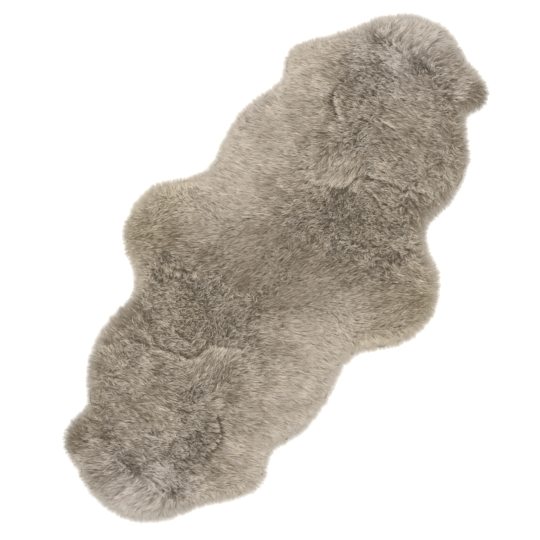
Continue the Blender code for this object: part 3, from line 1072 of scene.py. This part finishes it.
def grow(tufts, in_wild, in_combed):
    """Paths and sizes of the locks of these tufts."""
    locks = in_wild + (in_combed - in_wild) * order[tufts] + rng.uniform(-0.5, 0.5, len(tufts))
    which = np.repeat(tufts, np.round(locks).astype(int))
    count = len(which)
    leaning = np.clip(lean[which] + rng.normal(0, 0.06, count), 0.03, 1.0)
    upright = 1 - leaning
    unruly = wild[which]

    around = rng.uniform(0, 2 * math.pi, count)
    out = np.sqrt(rng.uniform(0, 1, count)) * 0.9 * TUFT_PITCH
    offset = arrows(around) * out[:, None]
    heading = arrows(angle[which] + rng.normal(0, 1, count) * (0.05 + 0.32 * unruly))
    length = LOCK_LENGTH * (1 + 0.55 * order[which]) * (1 - 0.35 * carded[which])
    length *= rng.uniform(0.7, 1.15, count)
    room = tufts_inside[which] + RIM_REACH * rng.uniform(0.1, 0.9, count)
    reach = np.minimum(length * (0.12 + 0.82 * leaning), room / (1 - SET_BACK))
    middle = tufts_at[which] - heading * reach[:, None] * SET_BACK
    root = middle + offset
    tips, gap = tiers_at(root + heading * reach[:, None] * 0.75)
    reach = reach * (1 - 0.4 * np.minimum(gap, 1))
    gather = 0.05 + 0.55 * unruly  # share by which the tips draw together
    drawn = middle + offset * (1 - gather)[:, None]
    tip = drawn + heading * reach[:, None]
    bend = (0.40 + 0.25 * upright)[:, None]
    belly = root * (1 - bend) + drawn * bend + heading * reach[:, None] * (bend - 0.03)

    # Upright locks root deep in the wool and stand a little above its top.
    stray = rng.normal(0, 1, count) * (1.1 + 0.8 * unruly) * MM
    above = stray + relief[which] + (1.5 * tips - 3 * gap) * MM
    root_z = wool_top(root) - (6 + 20 * upright) * MM + above
    belly_z = wool_top(belly) - (1.6 + 8 * upright) * MM + above
    tip_z = wool_top(tip) + (-0.8 + 3.0 * upright) * MM + above
    levels = (
        np.maximum(root_z, LOWEST_ROOT),
        np.maximum(belly_z, LOWEST_ROOT),
        np.maximum(tip_z, LOWEST_TIP),
    )
    width = (3.3 - 0.5 * unruly) * MM * rng.uniform(0.7, 1.3, count)

    spread = 0.09 + 0.31 * rough[which]
    own_shade = shade[which] + rng.normal(0, 1, count) * spread * (1 - 0.45 * carded[which])
    # Painted light and shade: a lock is painted lighter the higher it stands, lighter at a tier's
    # tips and darker in the gap beyond.
    own_shade += (0.08 + 0.06 * unruly) * above / USUAL_UNEVENNESS + 0.45 * tips - 0.6 * gap
    roll = rng.uniform(0, 2 * math.pi, count)
    at_edge = np.clip(1 - tufts_inside[which] / (50 * MM), 0, 1)
    # start lifts a lock's colours up its ramp, so less painted root shade shows: on flat wool, whose
    # roots are hidden, on wild wool near the edge, and at partings.
    start = 0.35 * order[which] + 0.35 * unruly * at_edge**0.5 + 0.2 * parted[which]
    paths = paths_of((root, belly, tip), levels)
    return paths, heading, width, roll, own_shade, tint_at(root), start


locks_of_kind = {"straight": (straight_lock, STRAIGHT_LOCKS), "bent": (bent_lock, BENT_LOCKS)}
fleeces = []
for letter, side in PELTS.items():
    pelt = np.flatnonzero((tufts_at[:, 1] - SEAM_Y) * side > 0)
    for kind, (lock, numbers) in locks_of_kind.items():
        fleece = lay_locks(f"fleece_{letter}_{kind}", lock, *grow(pelt, *numbers))
        finish_piece(fleece, wool)
        fleeces.append(fleece)
        print(fleece.name, triangles(fleece), "triangles")

# %% [markdown]
# ## The rim
#
# Round its edge the wool falls over the hide and down to the floor. These locks root in the last
# centimetres of the hide at every height, lean outwards and droop. Their tips end a little
# unevenly, which gives the rug its soft outline. Their wool is painted lighter than the fleece's:
# painted light, for the light that comes through thin wool over the pale floor.

# %% Grow the rim
RIM_LOCKS_PER_METRE = 3600
RIM_BAND = 36 * MM
# painted light: the rim is painted lighter than the fleece, for the light that comes through its thin
# wool over the pale floor
RIM_SHADE = 0.9
RIM_START = 0.3  # how far up its colours a lock of the rim begins


def rim_of(letter, side):
    """The locks along the outer edge of one pelt."""
    own = (edge_points[:, 1] - SEAM_Y) * side > 0
    points, outwards = edge_points[own], edge_outwards[own]
    count = int(len(points) * EDGE_STEP * RIM_LOCKS_PER_METRE)
    pick = rng.integers(0, len(points), count)
    along = np.column_stack((-outwards[pick, 1], outwards[pick, 0]))
    spot = points[pick] + along * rng.uniform(-0.6, 0.6, (count, 1)) * EDGE_STEP
    facing = np.arctan2(outwards[pick, 1], outwards[pick, 0])
    wander = 0.25 * swirl(spot, 45 * MM, 8.1) + 0.1 * swirl(spot, 12 * MM, 6.6)
    heading = arrows(facing + (wander + rng.normal(0, 0.2, count)))

    # level is where between the leather, 0, and the top of the wool, 1, a lock grows. The higher
    # it grows, the farther back it roots, and the longer it is.
    level = rng.uniform(0, 1, count) ** 0.7
    back = (0.1 + 0.9 * level) * RIM_BAND * rng.uniform(0.3, 1.0, count)
    root = spot - outwards[pick] * back[:, None]
    ragged = swirl(spot, 30 * MM, 4.4) * 2 * MM
    uneven = np.clip(rng.normal(-9, 9, count), -27, 13) * MM
    reach = back + RIM_REACH + ragged + uneven
    tip = root + heading * reach[:, None]
    middle = root + heading * reach[:, None] * 0.5
    root_z = LOWEST_ROOT + level * (wool_top(root) - 7 * MM)
    middle_z = np.maximum(wool_top(middle) * level, 2 * MM) + rng.normal(0, 1.0 * MM, count)
    middle_z = np.maximum(middle_z, 1.5 * MM)
    tip_z = np.maximum(wool_top(tip) * level, 1.5 * MM) + rng.uniform(0, 2 * MM, count)
    paths = paths_of((root, middle, tip), (root_z, middle_z, tip_z))
    width = rng.uniform(0.8, 1.6, count) * MM
    # painted light: a lighter shade than the fleece's, with the chart's tone and painted light and
    # shade
    shade = RIM_SHADE + 0.3 * lie_at(spot)[2] + 0.2 * swirl(spot, 13 * MM, 2.2)
    shade = shade + rng.normal(0, 0.15, count)
    roll = rng.uniform(0, 2 * math.pi, count)
    sizes = (paths, heading, width, roll, shade, tint_at(spot), RIM_START)
    return lay_locks(f"rim_locks_{letter}", straight_lock, *sizes)


for letter, side in PELTS.items():
    rim = rim_of(letter, side)
    finish_piece(rim, rim_wool)
    fleeces.append(rim)
    print(rim.name, triangles(rim), "triangles")

# %% [markdown]
# ## Counting the triangles
#
# The hides are sheets that lie flat.

pieces = (*fleeces, *masses.values(), *hides.values(), seam)
print("triangles added:", sum(triangles(piece) for piece in pieces))
